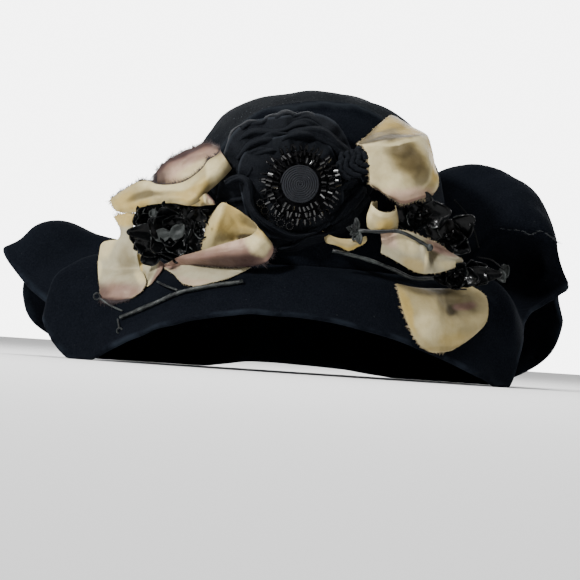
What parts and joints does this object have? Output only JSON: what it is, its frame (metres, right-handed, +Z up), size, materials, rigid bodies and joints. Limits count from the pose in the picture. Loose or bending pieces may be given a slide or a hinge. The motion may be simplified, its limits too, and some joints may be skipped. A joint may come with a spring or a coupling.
{
  "type": "wide-brim hat",
  "caption": "Dark velvet wide-brim hat with a chiffon rosette, bead ring and cord button, ivory satin petals and lacquered flowers.",
  "frame": {"origin": "middle of the hat's bounding box, on the plane of its lowest points, which is the surface it rests on", "axes": "+Z up through the crown, the wearer's face looks towards -Y, +X towards the folded side of the brim, at the right of the front view"},
  "size_m": [0.3598, 0.2947, 0.176],
  "materials": {
    "velvet": "matte pile",
    "chiffon": "matte crinkled",
    "satin": "satin",
    "pink_satin": "satin",
    "lacquer": "glossy",
    "cord": "matte",
    "beads": "glossy",
    "stem": "satin"
  },
  "bodies": {
    "root": {"crown": "velvet", "brim": "velvet", "rosette_outer_ruffle": "chiffon", "bead_ring": "beads", "cord_button": "cord", "rosette_inner_ruffle": "chiffon", "rosette_knot": "chiffon", "satin_upper_left": "satin", "satin_hanging_left": "pink_satin", "satin_centre_left": "satin", "satin_leaf_left": "pink_satin", "satin_upper_right": "satin", "satin_middle_right": "satin", "satin_curl_right": "satin", "satin_tab_right": "satin", "satin_round_right": "satin", "flowers_left": "lacquer", "flowers_right": "lacquer", "flowers_lower_right": "lacquer", "stem_upper_right": "stem", "stem_lower_right": "stem", "stem_long_left": "stem", "wire_eye_left": "stem", "wire_drop_left": "stem", "wire_short_left": "stem"}
  },
  "joints": []
}
